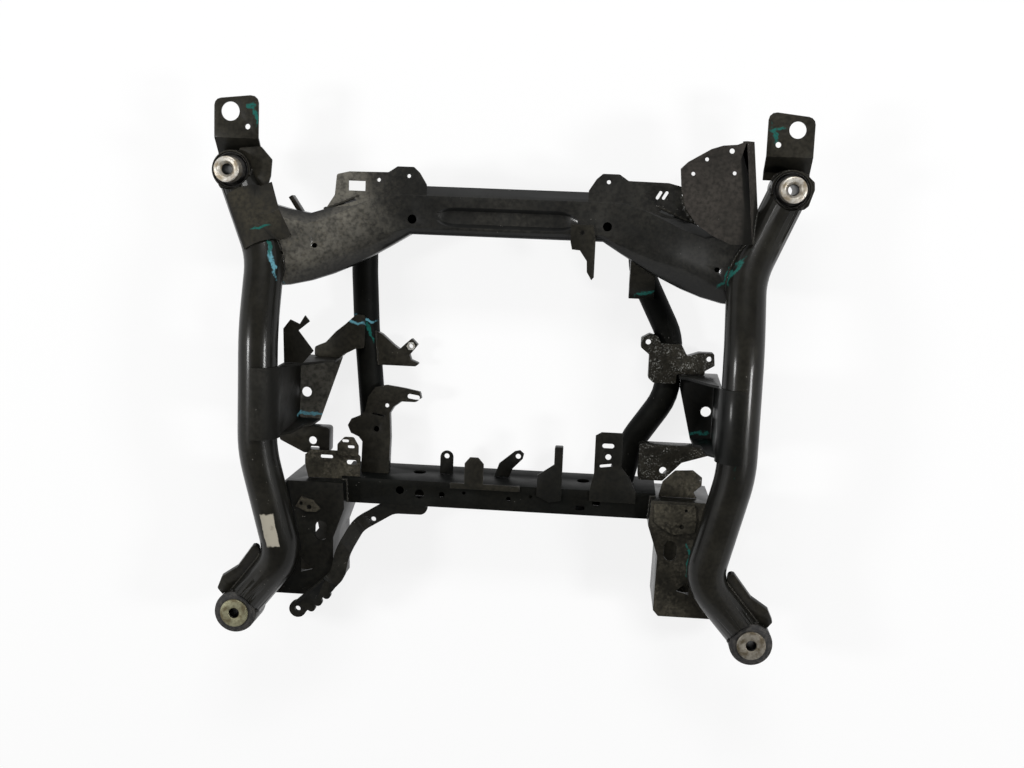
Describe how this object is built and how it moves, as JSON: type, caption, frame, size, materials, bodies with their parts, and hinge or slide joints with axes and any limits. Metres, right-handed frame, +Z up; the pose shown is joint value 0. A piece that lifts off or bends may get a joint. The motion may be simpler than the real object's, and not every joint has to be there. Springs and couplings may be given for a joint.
{
  "type": "axle subframe",
  "caption": "Welded steel axle subframe with bent tube rails, pressed crossmembers, engine mount cups, control arm brackets and rubber body mounting bushes.",
  "frame": {"origin": "middle of the outline seen from above, on the floor the part rests on", "axes": "+X across the vehicle to the right of the picture, +Y along it towards the upper bushes, +Z up from the floor"},
  "size_m": [0.9799, 0.9056, 0.2412],
  "materials": {
    "black_paint": "worn semi-gloss",
    "dusty_paint": "dusty matt",
    "bush_rubber": "matt",
    "sleeve_steel": "worn",
    "olive_plating": "dull plated",
    "dull_steel": "dull",
    "zinc_plating": "plated"
  },
  "bodies": {
    "root": {"left_rail": "black_paint", "right_rail": "black_paint", "left_rail_gusset": "black_paint", "right_rail_gusset": "black_paint", "upper_crossmember": "black_paint", "upper_crossmember_floor": "black_paint", "ear_weld_nuts": "zinc_plating", "lower_crossmember": "black_paint", "lower_crossmember_floor": "black_paint", "left_inner_tube": "black_paint", "right_inner_tube": "black_paint", "left_mount_cup": "dusty_paint", "right_mount_cup": "black_paint", "left_cup_arm": "black_paint", "right_cup_arm": "black_paint", "left_shelf": "dusty_paint", "right_shelf": "dusty_paint", "left_arm_bracket": "black_paint", "right_arm_bracket": "black_paint", "left_arm_bracket_floor": "black_paint", "right_arm_bracket_floor": "black_paint", "stay_arm": "black_paint", "upper_left_can": "black_paint", "upper_right_can": "black_paint", "lower_left_can": "black_paint", "lower_right_can": "black_paint", "upper_left_rubber": "bush_rubber", "upper_right_rubber": "bush_rubber", "lower_left_rubber": "bush_rubber", "lower_right_rubber": "bush_rubber", "upper_left_sleeve": "sleeve_steel", "upper_right_sleeve": "sleeve_steel", "lower_left_sleeve": "sleeve_steel", "lower_right_sleeve": "sleeve_steel", "lower_left_washer": "olive_plating", "lower_right_washer": "dull_steel", "left_end_tab": "black_paint", "right_end_tab": "black_paint", "left_collar": "black_paint", "right_collar": "black_paint", "left_horn_cover": "black_paint", "fan_plate": "dusty_paint", "hook_bracket": "black_paint", "leg_bracket": "black_paint", "fin_tab": "black_paint", "branch_bracket": "black_paint", "branch_weld_nut": "zinc_plating", "slotted_bracket": "black_paint", "hook_plate": "black_paint", "left_end_plate": "dusty_paint", "left_slot_tab": "dusty_paint", "left_corner_tab": "dusty_paint", "right_end_plate": "dusty_paint", "right_top_plate": "dusty_paint", "round_tab": "black_paint", "wide_tab": "dusty_paint", "slanted_tab": "black_paint", "post_bracket": "black_paint", "flange_plate": "black_paint"}
  },
  "joints": []
}
